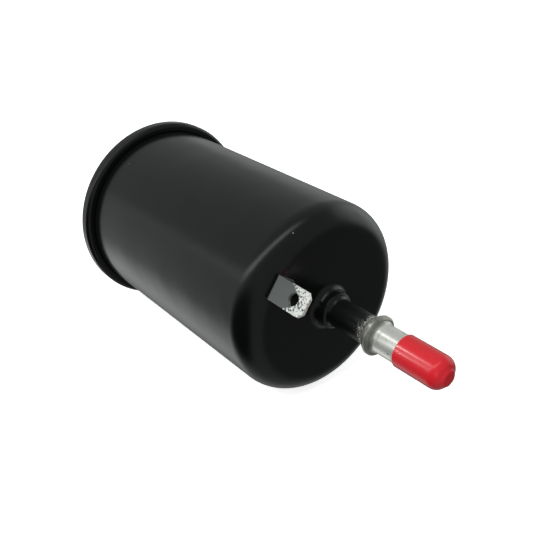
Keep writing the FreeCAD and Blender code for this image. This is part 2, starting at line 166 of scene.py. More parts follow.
class CapSizes(bpy.types.PropertyGroup):
    wall: length("Cap wall", "Thickness of the vinyl round the tube", 0.45)
    clearance: length("Clearance", "Gap between the cap and the tube", 0.03)
    end_wall: length("End wall", "Thickness of the cap's end", 0.9)
    end_radius: length("End radius", "Rounding of the cap's end", 2.8)
    lip: length("Lip", "Rounding of the cap's mouth", 0.15)
    nub_height: length("Nub height", "How far the moulding drip stands out", 0.45)
    nub_radius: length("Nub radius", "Radius of the moulding drip", 2.0)
    nub_slope: length("Nub slope", "Width of the drip's slope", 0.7)
    nub_offset: length("Nub offset", "How far the drip lies off the axis", 0.4)
    lumps: length("Lumps", "Unevenness of the dipped end", 0.07)


class TabSizes(bpy.types.PropertyGroup):
    width: length("Width", "Width of the tab", 6.6)
    foot: length("Foot", "Length of the foot on the nose, with the bend", 7.0)
    bend: length("Bend", "Inner radius of the bend", 0.3)
    corner: length("Corner", "How far each corner is cut", 1.3)
    edge: length("Edge", "Rounding of the sheared edges", 0.14)
    hole_steps: IntProperty(name="Hole steps", description="Faces round the hole", default=48, min=8)


class Finishes(bpy.types.PropertyGroup):
    enamel: colour("Enamel", "Black enamel of the can", (0.0035, 0.0042, 0.0039))
    enamel_roughness: share("Enamel roughness", "Roughness of the enamel", 0.2)
    steel: colour("Steel", "Bare steel of the spouts", (0.93, 0.92, 0.88))
    tin: colour("Tin", "Bare tinned steel of the tab", (0.93, 0.94, 0.92))
    # The tab's paint is a lighter grey than the can's enamel: a painted sheen that stands in for the
    # bright room reflected in the tab's flat face.
    tab_paint_sheen: colour("Thin paint", "Enamel that barely covers the tab's tin", (0.085, 0.094, 0.09))
    vinyl: colour("Vinyl", "Red vinyl of the caps", (0.75, 0.003, 0.004))
    paper: colour("Paper", "Pleated filter paper", (0.74, 0.6, 0.36))
    plating: colour("Plating", "Zinc plated inner steel", (0.62, 0.63, 0.6))
    spring: colour("Spring", "Spring steel", (0.36, 0.36, 0.37))
    plastisol: colour("Plastisol", "Potting of the element", (0.7, 0.22, 0.05))
    rubber: colour("Rubber", "Seal of the element", (0.02, 0.02, 0.021))
    nylon: colour("Nylon", "Guide of the element", (0.8, 0.78, 0.7))
    compound: colour("Compound", "Sealing compound in the seam", (0.2, 0.2, 0.19))
    paint_end: length("Paint end", "Where the overspray on the outlet spout begins to thin", 10.5)
    bare_start: length("Bare start", "Where the outlet spout is bare", 20.5)


class StageSettings(bpy.types.PropertyGroup):
    camera_at: place("Camera", "Where the camera stands", (0.16107, -0.11459, 0.10053))
    camera_aim: place("Aim", "What the camera points at", (0.01686, 0.00325, -0.00307))
    lens: FloatProperty(name="Lens", description="Focal length in millimetres", default=47.13, min=1)
    floor: colour("Floor", "Colour of the floor", (0.9, 0.9, 0.9))
    floor_size: length("Floor size", "Length of the floor's sides", 6000)
    background: share("Background", "Brightness of the room behind", 1.0)


class Nodes:
    """A node tree that is written as expressions."""

    def __init__(self, tree):
        self.tree = tree
        tree.nodes.clear()

    def add(self, kind, settings=None, sockets=None, output=0):
        """Add a node, give it its settings, then its sockets' values or links, and return an output."""
        made = self.tree.nodes.new(kind)
        for name, value in (settings or {}).items():
            setattr(made, name, value)
        for name, value in (sockets or {}).items():
            if isinstance(value, Wire):
                self.tree.links.new(value.socket, made.inputs[name])
            else:
                made.inputs[name].default_value = value
        return Wire(self, made.outputs[output])

    def maths(self, operation, *values):
        return self.add("ShaderNodeMath", {"operation": operation}, dict(enumerate(values)))

    def position(self):
        return self.add("ShaderNodeTexCoord", output="Object")

    def split(self, vector):
        """The x, y and z of a vector."""
        parts = self.add("ShaderNodeSeparateXYZ", sockets={"Vector": vector}).socket.node
        return [Wire(self, part) for part in parts.outputs]

    def stretch(self, vector, scale):
        """Coordinates scaled along each axis, so that a pattern runs out into streaks."""
        sockets = {"Vector": vector, "Scale": scale}
        return self.add("ShaderNodeMapping", {"vector_type": "POINT"}, sockets)

    def noise(self, vector, size, detail=2.0, roughness=0.5):
        """Cloudy noise about 0.5, with features of this size in metres."""
        sockets = {"Vector": vector, "Scale": 1 / size, "Detail": detail, "Roughness": roughness}
        return self.add("ShaderNodeTexNoise", sockets=sockets)

    def ramp(self, value, low, high, start=0.0, end=1.0):
        """A smooth step from start to end as the value goes from low to high."""
        sockets = {"Value": value, "From Min": low, "From Max": high, "To Min": start, "To Max": end}
        return self.add("ShaderNodeMapRange", {"interpolation_type": "SMOOTHSTEP"}, sockets)

    def blend(self, mask, under, over):
        """The colour under, with the colour over where the mask is 1."""
        settings = {"data_type": "RGBA", "clamp_factor": True}
        return self.add("ShaderNodeMix", settings, {0: mask, 6: rgba(under), 7: rgba(over)}, 2)

    def specks(self, vector, spacing, size, amount):
        """Round specks: about this spacing and size in metres, on this share of the cells."""
        settings = {"feature": "F1"}
        sockets = {"Vector": vector, "Scale": 1 / spacing}
        near = self.add("ShaderNodeTexVoronoi", settings, sockets)
        cell = Wire(self, near.socket.node.outputs["Color"])
        chance = self.split(cell)[0]
        spot = self.ramp(near, size / spacing, size / spacing * 0.6)
        return spot * self.maths("LESS_THAN", chance, amount)

    def bumps(self, *layers):
        """A normal bent by (height, depth in metres) layers."""
        normal = None
        for height, depth in layers:
            sockets = {"Height": height, "Distance": depth, "Strength": 1.0}
            if normal:
                sockets["Normal"] = normal
            normal = self.add("ShaderNodeBump", sockets=sockets)
        return normal


class Wire:
    """An output in a node tree. Arithmetic on it adds Math nodes."""

    def __init__(self, nodes, socket):
        self.nodes = nodes
        self.socket = socket

    def __add__(self, other):
        return self.nodes.maths("ADD", self, other)

    __radd__ = __add__

    def __sub__(self, other):
        return self.nodes.maths("SUBTRACT", self, other)

    def __rsub__(self, other):
        return self.nodes.maths("SUBTRACT", other, self)

    def __mul__(self, other):
        return self.nodes.maths("MULTIPLY", self, other)

    __rmul__ = __mul__

    def __truediv__(self, other):
        return self.nodes.maths("DIVIDE", self, other)


def rgba(value):
    """A colour for a socket: a link stays as it is, and three numbers get an alpha of 1."""
    return value if isinstance(value, Wire) else (*value, 1.0)


class Material(Nodes):
    """A material with one Principled shader."""

    def __init__(self, name):
        self.made = bpy.data.materials.new(name)
        self.made.use_nodes = True
        super().__init__(self.made.node_tree)

    def finish(self, base, **sockets):
        """Make the shader from its sockets' values or links."""
        named = {name.replace("_", " ").title(): value for name, value in sockets.items()}
        named["Base Color"] = rgba(base)
        if "Ior" in named:
            named["IOR"] = named.pop("Ior")
        shader = self.add("ShaderNodeBsdfPrincipled", sockets=named)
        self.add_output(shader)
        self.made.diffuse_color = (0.5, 0.5, 0.5, 1.0) if isinstance(base, Wire) else rgba(base)
        return self.made

    def add_output(self, shader):
        end = self.tree.nodes.new("ShaderNodeOutputMaterial")
        self.tree.links.new(shader.socket, end.inputs["Surface"])


def enamel_layers(nodes, at, look):
    """Colour, roughness and normal of black enamel: soft dents, orange peel and a little dust."""
    dents = nodes.noise(at, 0.014, 1.5)
    peel = nodes.noise(at, 0.0011, 1.5)
    clouds = nodes.noise(at, 0.02, 3.0)
    dust = nodes.specks(at, 0.0045, 0.00022, 0.14)
    base = nodes.blend(dust, look.enamel, (0.22, 0.22, 0.2))
    roughness = clouds * 0.1 + (look.enamel_roughness - 0.05) + dust * 0.3
    normal = nodes.bumps((dents, 0.00022), (peel, 0.000006))
    return base, roughness, normal


def black_enamel(look):
    paint = Material("black_enamel")
    base, roughness, normal = enamel_layers(paint, paint.position(), look)
    return paint.finish(base, roughness=roughness, normal=normal)


def sprayed_steel(look, name, face, facing, paint_end, bare_start):
    """Bare steel with the can's enamel sprayed over it near the end face."""
    steel = Material(name)
    at = steel.position()
    station = (steel.split(at)[0] - face) * facing
    grain = steel.noise(at, 0.0003, 3.0, 0.75)
    patches = steel.noise(at, 0.0022, 2.0)
    limit = steel.ramp(station, paint_end, bare_start, 0.22, 0.8)
    paint = steel.ramp(grain * 0.72 + patches * 0.28 - limit, -0.03, 0.03)
    lines = steel.noise(steel.stretch(at, (0.06, 1.0, 1.0)), 0.0005, 2.0, 0.6)
    stains = steel.noise(at, 0.0016, 3.0, 0.65)
    nicks = steel.specks(steel.stretch(at, (0.45, 1.0, 1.0)), 0.0017, 0.00022, 0.2)
    wear = steel.blend(steel.ramp(stains, 0.5, 0.72, 0.0, 0.5), look.steel, (0.36, 0.35, 0.32))
    # The bead's steel is darkened: partly overspray, partly painted shade that dims the bright reflection
    # on the bead's front.
    bead_start = steel.ramp(station, LAND_START - 2.0 * MM, LAND_START, 0.0, 0.9)
    bead_end = steel.ramp(station, LAND_END + 1.6 * MM, LAND_END + 0.6 * MM)
    overspray_and_shade = bead_start * bead_end * (patches * 0.8 + 0.5)
    bead = steel.blend(overspray_and_shade, wear, (0.26, 0.265, 0.225))
    metal = steel.blend(nicks, bead, (0.1, 0.1, 0.09))
    bare_roughness = lines * 0.16 + stains * 0.12 + 0.2
    roughness = bare_roughness * (1 - paint) + paint * 0.34
    height = paint * 0.5 + lines * 0.12 - nicks * 0.3
    return steel.finish(
        steel.blend(paint, metal, look.enamel),
        metallic=0.8 - paint * 0.8,
        roughness=roughness,
        normal=steel.bumps((height, 0.00006)),
    )


def tinned_tab(look):
    """Painted tab whose end is bare tin, with specks of paint left on it."""
    tab = Material("tinned_tab")
    strip = tab.add("ShaderNodeUVMap", {"uv_map": "Strip"})
    across, up, _ = tab.split(strip)
    at = tab.position()
    grain = tab.noise(at, 0.00055, 3.0, 0.75)
    edge = tab.noise(at, 0.0012, 2.0)
    boundary = TAB_HOLE_PLACE + 1.0 * MM - across * across * 312
    inside = (up - boundary) / MM + (edge - 0.5) * 2.2 + (grain - 0.5) * 2.0
    bare = tab.ramp(inside, -0.12, 0.12)
    flecks = tab.ramp(grain + tab.ramp(up - boundary, 0.0, 0.005, 0.08, 0.0), 0.56, 0.61)
    tin = tab.blend(flecks, look.tin, (0.07, 0.07, 0.065))
    _, gloss, normal = enamel_layers(tab, at, look)
    tin_roughness = tab.noise(at, 0.0008, 2.0) * 0.3 + 0.28
    metallic = bare * (0.55 - flecks * 0.4)
    height = bare * grain * 0.9 - bare * 0.4
    bent = tab.add("ShaderNodeBump", sockets={"Height": height, "Distance": 0.00007, "Normal": normal})
    return tab.finish(
        # Where the tab is painted, its colour carries that painted sheen.
        tab.blend(bare, look.tab_paint_sheen, tin),
        metallic=metallic,
        roughness=gloss * (1 - bare) + tin_roughness * bare,
        normal=bent,
    )


def red_vinyl(look):
    """Dipped vinyl: glossy, a little uneven, and darker in cloudy patches."""
    vinyl = Material("red_vinyl")
    at = vinyl.position()
    lumps = vinyl.noise(at, 0.0034, 1.5)
    fine = vinyl.noise(at, 0.0007, 2.0)
    clouds = vinyl.noise(at, 0.005, 2.0)
    base = vinyl.blend(vinyl.ramp(clouds, 0.35, 0.75, 0.0, 0.45), look.vinyl, (0.58, 0.003, 0.005))
    return vinyl.finish(
        base,
        roughness=fine * 0.04 + 0.02,
        normal=vinyl.bumps((lumps, 0.00012), (fine, 0.000004)),
        ior=1.39,
    )


def plain_metal(name, tint, size, rough):
    """Inner steel with a fine grain, rolling lines and dull patches."""
    metal = Material(name)
    at = metal.position()
    grain = metal.noise(at, size, 3.0, 0.6)
    patches = metal.noise(at, size * 9, 3.0)
    dull = [channel * 0.62 for channel in tint]
    base = metal.blend(metal.ramp(patches, 0.4, 0.7, 0.0, 0.6), tint, dull)
    return metal.finish(
        base,
        metallic=1.0,
        roughness=grain * 0.2 + rough,
        normal=metal.bumps((grain, 0.00001)),
    )


def filter_paper(look):
    """Resin paper: fibres of two sizes, and a slightly mottled colour."""
    paper = Material("filter_paper")
    at = paper.position()
    fibres = paper.noise(paper.stretch(at, (0.25, 1.0, 1.0)), 0.00018, 4.0, 0.7)
    clouds = paper.noise(at, 0.004, 3.0)
    dark = [channel * 0.72 for channel in look.paper]
    base = paper.blend(paper.ramp(fibres * 0.6 + clouds * 0.4, 0.35, 0.7), look.paper, dark)
    return paper.finish(base, roughness=fibres * 0.1 + 0.8, normal=paper.bumps((fibres, 0.00004)))


def moulded(name, tint, rough, size):
    """Moulded or poured plastic, with soft mottling and a fine skin."""
    plastic = Material(name)
    at = plastic.position()
    skin = plastic.noise(at, size, 3.0, 0.6)
    mottling = plastic.noise(at, size * 8, 2.0)
    dark = [channel * 0.75 for channel in tint]
    base = plastic.blend(plastic.ramp(mottling, 0.35, 0.7, 0.0, 0.8), tint, dark)
    return plastic.finish(base, roughness=skin * 0.15 + rough, normal=plastic.bumps((skin, 0.00002)))


def rounded(corners, steps=8):
    """Points of a closed outline of (along, radius, rounding) corners: a rounding becomes an arc."""
    points = []
    for index, (along, radius, rounding) in enumerate(corners):
        corner = Vector((along, radius))
        if rounding <= 0:
            points.append(corner)
            continue
        ahead = (Vector(corners[(index + 1) % len(corners)][:2]) - corner).normalized()
        back = (Vector(corners[index - 1][:2]) - corner).normalized()
        half = back.angle(ahead) / 2
        centre = corner + (back + ahead).normalized() * (rounding / math.sin(half))
        first = (corner + back * (rounding / math.tan(half)) - centre).normalized()
        last = (corner + ahead * (rounding / math.tan(half)) - centre).normalized()
        for step in range(steps + 1):
            points.append(centre + first.slerp(last, step / steps) * rounding)
    return points


def turned(points, turns):
    """Turn an outline about the X axis. Two neighbours on the axis have no edge between them."""
    shape = bmesh.new()
    ring = [shape.verts.new((along, 0, radius)) for along, radius in points]
    sides = [
        shape.edges.new(pair)
        for pair in zip(ring, ring[1:] + ring[:1])
        if max(pair[0].co.z, pair[1].co.z) > 0
    ]
    bmesh.ops.spin(
        shape,
        geom=ring + sides,
        cent=(0, 0, 0),
        axis=(1, 0, 0),
        angle=math.tau,
        steps=turns,
        use_merge=True,
    )
    bmesh.ops.remove_doubles(shape, verts=shape.verts, dist=SAME_PLACE)
    bmesh.ops.recalc_face_normals(shape, faces=shape.faces)
    return shape


def from_face(face, facing, corners):
    """Corners counted from an end face, put on the can's axis."""
    return [(face + facing * along, radius, rounding) for along, radius, rounding in corners]


def add_piece(name, shape, material, sharp=math.radians(40)):
    """Make an object of the shape, smooth but for edges sharper than this, with the material."""
    mesh = bpy.data.meshes.new(name)
    shape.to_mesh(mesh)
    shape.free()
    mesh.shade_smooth()
    mesh.set_sharp_from_angle(angle=sharp)
    mesh.materials.append(material)
    piece = bpy.data.objects.new(name, mesh)
    bpy.context.scene.collection.objects.link(piece)
    return piece


def even_normals(piece):
    """Let flat stretches keep their normals next to roundings."""
    weighted = piece.modifiers.new("Even normals", "WEIGHTED_NORMAL")
    weighted.keep_sharp = True


def stand_for(piece, body, slot, *nodes):
    """Let the piece ride on a body, in place of its CAD nodes."""
    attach(piece, body)
    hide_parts(*nodes)


def material_once(name, make, *values):
    """The material of this name, made the first time it is asked for."""
    return bpy.data.materials.get(name) or make(*values)


def tube_radius(context):
    """Outside radius of the spouts' tube, from the cap that is pushed on it."""
    cap = context.scene.fuelfilter_cap
    return CAP_RADIUS - cap.wall - cap.clearance


class FUELFILTER_OT_can(bpy.types.Operator):
    """Drawn can: hook for the seam, straight wall, shoulder, nose and its collar"""

    bl_idname = "fuelfilter.can"
    bl_label = "Can"

    def execute(self, context):
        sizes = context.scene.fuelfilter_can
        look = context.scene.fuelfilter_finishes
        sheet = sizes.sheet
        bore = CAN_RADIUS - sheet
        necked = bore - sizes.seam_neck
        seam_base = CAN_RADIUS - sizes.seam_neck
        hook_base = seam_base + sheet + sizes.seam_gap
        bend = SEAM_REAR + sheet + sizes.seam_gap
        hook_end = SEAM_FRONT - sheet - sizes.seam_gap
        collar_end = NOSE_FACE + NECK_HEIGHT
        tube = tube_radius(context)
        outline = [
            (bend, necked, sheet),
            (bend, hook_base + sheet, sheet),
            (hook_end, hook_base + sheet, sizes.fold),
            (hook_end, hook_base, sizes.fold),
            (bend + sheet, hook_base, sizes.fold / 2),
            (bend + sheet, seam_base, sizes.fold / 2),
            (SEAM_FRONT, seam_base, 0),
            (SEAM_FRONT + sheet / 4, CAN_RADIUS, sizes.fold),
            (NOSE_FACE, CAN_RADIUS, sizes.shoulder),
            (NOSE_FACE, NECK_RADIUS, sizes.neck_flare),
            (collar_end, NECK_RADIUS, sizes.neck_edge),
            (collar_end, tube, 0),
            (NOSE_FACE - sheet, tube, sheet),
            (NOSE_FACE - sheet, bore, sizes.shoulder - sheet),
            (SEAM_FRONT + sheet, bore, 0),
            (SEAM_FRONT + sheet / 2, necked, 0),
        ]
        material = material_once("black_enamel", black_enamel, look)
        can = add_piece("can_body", turned(rounded(outline, 14), CAN_TURNS), material)
        even_normals(can)
        stand_for(can, "filter", "black_paint", "can_shell")
        return {"FINISHED"}


class FUELFILTER_OT_cover(bpy.types.Operator):
    """Rear cover: double seam rolled round the can's hook, chuck wall, sunk panel and its collar"""

    bl_idname = "fuelfilter.cover"
    bl_label = "Rear Cover"

    def execute(self, context):
        sizes = context.scene.fuelfilter_can
        look = context.scene.fuelfilter_finishes
        sheet = sizes.sheet
        necked = CAN_RADIUS - sheet - sizes.seam_neck
        chuck_bore = necked - sheet
        seam_base = CAN_RADIUS - sizes.seam_neck
        hook_top = seam_base + sheet
        hook_end = SEAM_REAR + 2 * (sheet + sizes.seam_gap)
        wall_base = SEAM_RADIUS - sheet
        collar_end = PANEL_FACE - NECK_HEIGHT
        tube = tube_radius(context)
        outline = [
            (SEAM_REAR, chuck_bore, sizes.seam_edge),
            (SEAM_REAR, SEAM_RADIUS, sizes.seam_edge * 1.2),
            (SEAM_FRONT, SEAM_RADIUS, sizes.seam_curl),
            (SEAM_FRONT, seam_base, sizes.seam_foot),
            (hook_end, seam_base, sizes.fold),
            (hook_end, hook_top, sizes.fold),
            (SEAM_FRONT - sheet, hook_top, sizes.fold),
            (SEAM_FRONT - sheet, wall_base, sizes.fold),
            (SEAM_REAR + sheet, wall_base, sizes.fold),
            (SEAM_REAR + sheet, necked, sizes.fold),
            (PANEL_FACE + sheet, necked, sizes.panel_bend + sheet),
            (PANEL_FACE + sheet, tube, sheet),
            (collar_end, tube, 0),
            (collar_end, NECK_RADIUS, sizes.neck_edge),
            (PANEL_FACE, NECK_RADIUS, sizes.neck_flare),
            (PANEL_FACE, chuck_bore, sizes.panel_bend),
        ]
        material = material_once("black_enamel", black_enamel, look)
        cover = add_piece("cover_and_seam", turned(rounded(outline, 10), CAN_TURNS), material)
        even_normals(cover)
        stand_for(cover, "filter", "black_paint", "rear_cover")
        return {"FINISHED"}


class FUELFILTER_OT_spouts(bpy.types.Operator):
    """The two steel spouts, each with its bead, and the braze where each leaves its collar"""

    bl_idname = "fuelfilter.spouts"
    bl_label = "Spouts"

    def execute(self, context):
        look = context.scene.fuelfilter_finishes
        fade = (look.paint_end, look.bare_start)
        outlet = sprayed_steel(look, "outlet_steel", NOSE_FACE, 1, *fade)
        inlet = sprayed_steel(look, "inlet_steel", PANEL_FACE, -1, *fade)
        self.add_spout(context, "outlet", OUTLET_STUB, NOSE_FACE, 1, outlet)
        self.add_spout(context, "inlet", INLET_STUB, PANEL_FACE, -1, inlet)
        return {"FINISHED"}

    def add_spout(self, context, end, stub, face, facing, material):
        sizes = context.scene.fuelfilter_spout
        look = context.scene.fuelfilter_finishes
        tube = tube_radius(context)
        bore = tube - sizes.wall
        rise = BEAD_RADIUS - tube
        crease_at = LAND_START - sizes.bead_rise * 0.12
        outline = from_face(face, facing, [
            (-stub, bore, CUT_EDGE),
            (-stub, tube, CUT_EDGE),
            (LAND_START - sizes.bead_rise, tube, sizes.blend),
            (crease_at - sizes.crease * 1.6, tube + rise * 0.74, sizes.crease),
            (crease_at, tube + rise * 0.74 - sizes.crease, sizes.crease / 2),
            (LAND_START + sizes.crease, BEAD_RADIUS, sizes.crease * 1.5),
            (LAND_END, BEAD_RADIUS, sizes.blend / 2),
            (LAND_END + sizes.bead_fall * 0.45, tube + rise * 0.55, sizes.crease),
            (LAND_END + sizes.bead_fall * 0.4, tube + rise * 0.42, sizes.crease / 2),
            (LAND_END + sizes.bead_fall, tube, sizes.blend),
            (SPOUT_LENGTH - sizes.lead, tube, sizes.blend),
            (SPOUT_LENGTH, tube - sizes.drop, CUT_EDGE),
            (SPOUT_LENGTH, bore, CUT_EDGE),
        ])
        spout = add_piece(f"{end}_spout", turned(rounded(outline), SPOUT_TURNS), material)
        even_normals(spout)
        stand_for(spout, "filter", "bare_steel", f"{end}_tube")
        fillet = from_face(face, facing, [
            (NECK_HEIGHT, tube, 0),
            (NECK_HEIGHT, NECK_RADIUS - 0.15 * MM, 0),
            (NECK_HEIGHT + BRAZE_HEIGHT * 0.3, tube + (NECK_RADIUS - tube) * 0.35, 0.6 * MM),
            (NECK_HEIGHT + BRAZE_HEIGHT, tube, 0),
        ])
        paint = material_once("black_enamel", black_enamel, look)
        braze = add_piece(f"{end}_fillet", turned(rounded(fillet), SPOUT_TURNS), paint)
        even_normals(braze)
        stand_for(braze, "filter", "black_paint", f"{end}_braze")


class FUELFILTER_OT_tab(bpy.types.Operator):
    """Ground tab: a blank with a hole and cut corners, bent, and given its sheet"""

    bl_idname = "fuelfilter.tab"
    bl_label = "Ground Tab"

    def execute(self, context):
        sizes = context.scene.fuelfilter_tab
        middle_bend = sizes.bend + TAB_SHEET / 2
        self.bend_radius = middle_bend
        self.foot_end = TAB_DISTANCE + TAB_SHEET / 2 - sizes.foot
        self.bend_height = TAB_DISTANCE - middle_bend
        self.foot_length = self.bend_height - self.foot_end
        self.bend_length = middle_bend * math.pi / 2
        self.leg_start = TAB_SHEET / 2 + middle_bend
        shape = self.cut_blank(sizes)
        self.map_strip(shape)
        for vert in shape.verts:
            vert.co = self.bent(vert.co)
        bmesh.ops.rotate(shape, verts=shape.verts, matrix=Matrix.Rotation(TAB_ANGLE, 3, "X"))
        bmesh.ops.translate(shape, verts=shape.verts, vec=(NOSE_FACE, 0, 0))
        material = tinned_tab(context.scene.fuelfilter_finishes)
        tab = add_piece("tab_plate", shape, material, math.radians(60))
        thickness = tab.modifiers.new("Sheet", "SOLIDIFY")
        thickness.thickness = TAB_SHEET
        thickness.offset = 0
        edges = tab.modifiers.new("Sheared edges", "BEVEL")
        edges.width = sizes.edge
        edges.segments = 3
        edges.limit_method = "ANGLE"
        edges.angle_limit = math.radians(40)
        even_normals(tab)
        stand_for(tab, "filter", "tinned_steel", "ground_tab")
        return {"FINISHED"}

    def cut_blank(self, sizes):
        """The flat blank: x across it, y along it from the hole's middle."""
        shape = bmesh.new()
        half = sizes.width / 2
        hole = bmesh.ops.create_circle(shape, segments=sizes.hole_steps, radius=TAB_HOLE_RADIUS)
        outer_ring = bmesh.ops.create_circle(shape, segments=sizes.hole_steps, radius=half)
        for vert in outer_ring["verts"]:
            vert.co *= half / max(abs(vert.co.x), abs(vert.co.y))
        bmesh.ops.bridge_loops(shape, edges=shape.edges)
        leg = TAB_REACH - TAB_HOLE_PLACE
        self.stretch_side(shape, half, leg)
        bend_end = self.leg_start - TAB_HOLE_PLACE
        self.stretch_side(shape, -half, bend_end)
        for step in range(BEND_STEPS):
            start = bend_end - self.bend_length * step / BEND_STEPS
            self.stretch_side(shape, start, start - self.bend_length / BEND_STEPS)
        foot_start = bend_end - self.bend_length
        foot_end = foot_start - self.foot_length
        self.stretch_side(shape, foot_start, foot_end)
        for end, side in ((leg, 1), (foot_end, -1)):
            for across in (-1, 1):
                bmesh.ops.bisect_plane(
                    shape,
                    geom=shape.verts[:] + shape.edges[:] + shape.faces[:],
                    plane_co=(across * (half - sizes.corner), end, 0),
                    plane_no=(across, side, 0),
                    clear_outer=True,
                )
        bmesh.ops.recalc_face_normals(shape, faces=shape.faces)
        return shape

    def stretch_side(self, shape, start, end):
        """Extrude the blank's free side at one place along it to another."""
        free = [
            edge
            for edge in shape.edges
            if edge.is_boundary and all(abs(vert.co.y - start) < SAME_PLACE for vert in edge.verts)
        ]
        grown = bmesh.ops.extrude_edge_only(shape, edges=free)["geom"]
        for item in grown:
            if isinstance(item, bmesh.types.BMVert):
                item.co.y = end

    def map_strip(self, shape):
        """Keep each point's place across the blank and its distance from the nose along the leg."""
        layer = shape.loops.layers.uv.new("Strip")
        for face in shape.faces:
            for loop in face.loops:
                loop[layer].uv = (loop.vert.co.x, loop.vert.co.y + TAB_HOLE_PLACE)

    def bent(self, point):
        """Where a point of the flat blank is once the foot is bent down."""
        along = point.y + TAB_HOLE_PLACE - self.leg_start
        if along >= 0:
            return Vector((self.leg_start + along, point.x, TAB_DISTANCE))
        if along > -self.bend_length:
            turn = -along / self.bend_radius
            back = self.leg_start - self.bend_radius * math.sin(turn)
            return Vector((back, point.x, self.bend_height + self.bend_radius * math.cos(turn)))
        return Vector((TAB_SHEET / 2, point.x, self.bend_height + along + self.bend_length))


class FUELFILTER_OT_caps(bpy.types.Operator):
    """The two dipped vinyl caps, with their uneven ends and moulding drips"""

    bl_idname = "fuelfilter.caps"
    bl_label = "Caps"

    def execute(self, context):
        self.add_cap(context, "outlet", NOSE_FACE, 1, math.radians(215))
        self.add_cap(context, "inlet", PANEL_FACE, -1, math.radians(70))
        return {"FINISHED"}

    def add_cap(self, context, end, face, facing, drip_angle):
        sizes = context.scene.fuelfilter_cap
        look = context.scene.fuelfilter_finishes
        bore = CAP_RADIUS - sizes.wall
        cap_end = CAP_TIP - sizes.nub_height
        inside = cap_end - sizes.end_wall
        flat = CAP_RADIUS - sizes.end_radius
        outline = from_face(face, facing, [
            (CAP_START, bore, sizes.lip / 2),
            (CAP_START, CAP_RADIUS, sizes.lip),
            ((CAP_START + cap_end) / 2, CAP_RADIUS, 0),
            (cap_end, CAP_RADIUS, sizes.end_radius),
            *[(cap_end, flat * step / 6, 0) for step in range(5, -1, -1)],
            (inside, 0, 0),
            (inside, bore, sizes.end_radius - sizes.wall),
        ])
        shape = turned(rounded(outline, 12), SPOUT_TURNS)
        drip = Vector((0, math.sin(drip_angle), math.cos(drip_angle))) * sizes.nub_offset
        for vert in shape.verts:
            off_axis = Vector((0, vert.co.y, vert.co.z))
            station = (vert.co.x - face) * facing
            inside_drip = sizes.nub_radius + sizes.nub_slope - (off_axis - drip).length
            near = min(1.0, max(0.0, inside_drip / sizes.nub_slope))
            if station > cap_end - sizes.end_wall / 2:
                vert.co.x += facing * sizes.nub_height * near * near * (3 - 2 * near)
            outer = off_axis.length > CAP_RADIUS - sizes.wall / 2 or station > cap_end - sizes.end_radius
            if outer and station > CAP_START + sizes.lip:
                swell = noise.noise(vert.co * 330 + Vector((0, 0, 7 * facing))) * sizes.lumps
                rim = min(1.0, (station - CAP_START) / (4 * MM))
                vert.co -= off_axis.normalized() * (abs(swell) * rim) if off_axis.length else Vector()
            elif station <= CAP_START + sizes.lip:
                angle = math.atan2(vert.co.y, vert.co.z)
                vert.co.x += facing * 0.05 * MM * (math.sin(2 * angle + 1) + math.sin(5 * angle) / 2 + 1)
        material = material_once("red_vinyl", red_vinyl, look)
        cap = add_piece(f"{end}_vinyl_cap", shape, material)
        even_normals(cap)
        stand_for(cap, f"{end}_cap", "red_vinyl", f"{end}_cap")


class FUELFILTER_OT_element(bpy.types.Operator):
    """Finishes of the CAD nodes that stay: the element, its seal, spring and guide, and the compound"""

    bl_idname = "fuelfilter.element"
    bl_label = "Element"

    def execute(self, context):
        look = context.scene.fuelfilter_finishes
        plating = plain_metal("plated_steel", look.plating, 0.0006, 0.25)
        potting = moulded("plastisol", look.plastisol, 0.35, 0.0008)
        worn = {
            "pleated_media": filter_paper(look),
            "media_clip": plain_metal("clip_steel", look.steel, 0.0005, 0.25),
            "core_tube": plating,
            "outlet_end_disc": plating,
            "inlet_end_disc": plating,
            "spring_seat": plating,
            "outlet_potting": potting,
            "inlet_potting": potting,
            "seat_grommet": moulded("black_rubber", look.rubber, 0.55, 0.0005),
            "retaining_spring": plain_metal("spring_steel", look.spring, 0.0003, 0.2),
            "element_guide": moulded("white_nylon", look.nylon, 0.4, 0.0009),
            "seam_compound": moulded("compound", look.compound, 0.6, 0.0004),
        }
        for name, material in worn.items():
            node = frame["nodes"][name]
            node.data.materials.clear()
            node.data.materials.append(material)
        return {"FINISHED"}


# Lights that show in no mirror: name, direction from the can, brightness
SOFTBOXES = (
    ("key_softbox", (0.1, -0.6, 0.75), 8),
    ("fill_softbox", (0.8, -0.6, 0.1), 5),
)

# Lights that only these pieces mirror: name, piece at each end, direction, width, brightness
STRIPS = (
    ("upper_strip", "vinyl_cap", (-0.66, -0.51, 0.55), 0.014, 230),
    ("lower_strip", "vinyl_cap", (-0.66, -0.72, 0.22), 0.024, 60),
    ("spout_strip", "spout", (-0.66, -0.3, 0.69), 0.045, 7),
)

# Soft patches of the room: direction, degrees from it at full strength and at none, brightness
GLOWS = (
    ((0.1, 0.95, 0.2), 8, 34, 0.7),
    ((0.62, 0.62, -0.45), 8, 40, -0.14),
    ((-0.7, 0.45, -0.55), 22, 38, -0.2),
    ((-0.68, 0.72, -0.1), 10, 32, -0.1),
    ((-0.68, 0.35, -0.64), 12, 30, -0.12),
    ((-0.68, -0.2, -0.7), 8, 25, 0.4),
)


